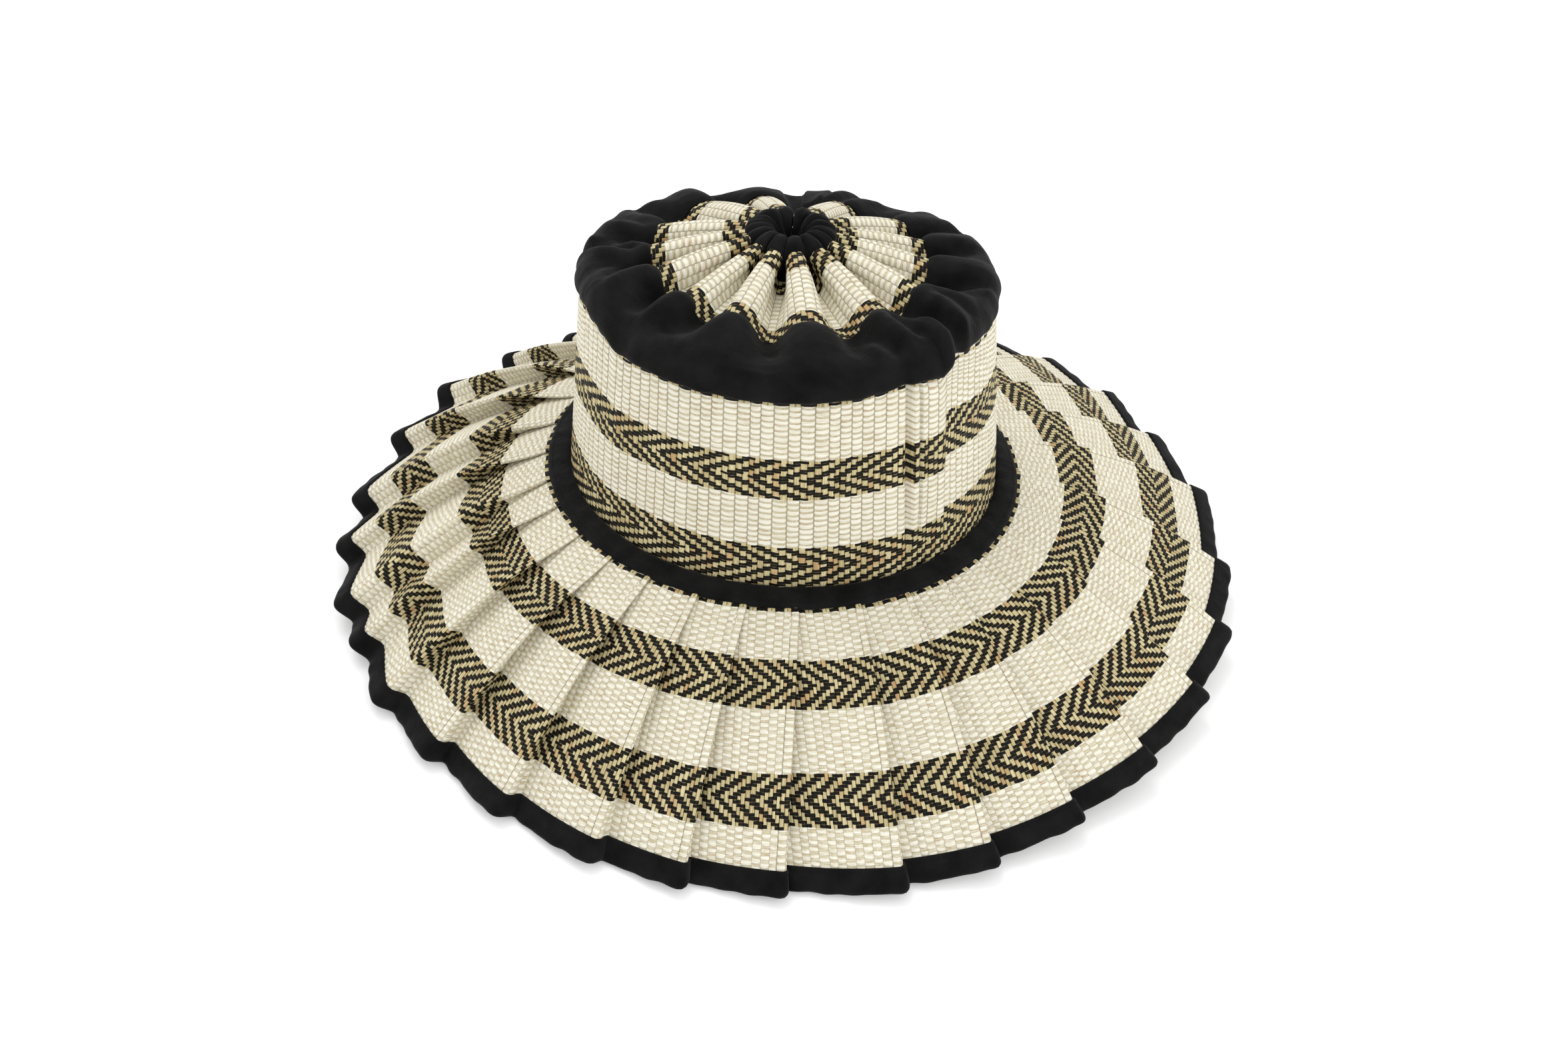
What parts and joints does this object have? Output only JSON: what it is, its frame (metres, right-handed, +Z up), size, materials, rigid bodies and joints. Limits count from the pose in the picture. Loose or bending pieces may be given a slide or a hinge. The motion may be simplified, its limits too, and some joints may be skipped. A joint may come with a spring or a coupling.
{
  "type": "woven sun hat",
  "caption": "Wide-brimmed woven straw sun hat with a knife-pleated brim, a straight crown, a gathered top and black cotton trims, lying brim down.",
  "frame": {"origin": "bottom centre of the hat's outline, on the surface it lies on", "axes": "+Z up, -Y the front of the hat, +X the wearer's left; the brim lies down and the head goes in from below"},
  "size_m": [0.4054, 0.399, 0.1628],
  "materials": {
    "woven_mat": "hand-woven straw and cotton mat, cream with black chevron bands, matt",
    "black_cotton": "matt black cotton twill, stitched"
  },
  "bodies": {
    "root": {"brim": "woven_mat", "crown_wall": "woven_mat", "rosette": "woven_mat", "brim_hem": "black_cotton", "base_band": "black_cotton", "crown_yoke": "black_cotton", "centre_gather": "black_cotton"}
  },
  "joints": []
}
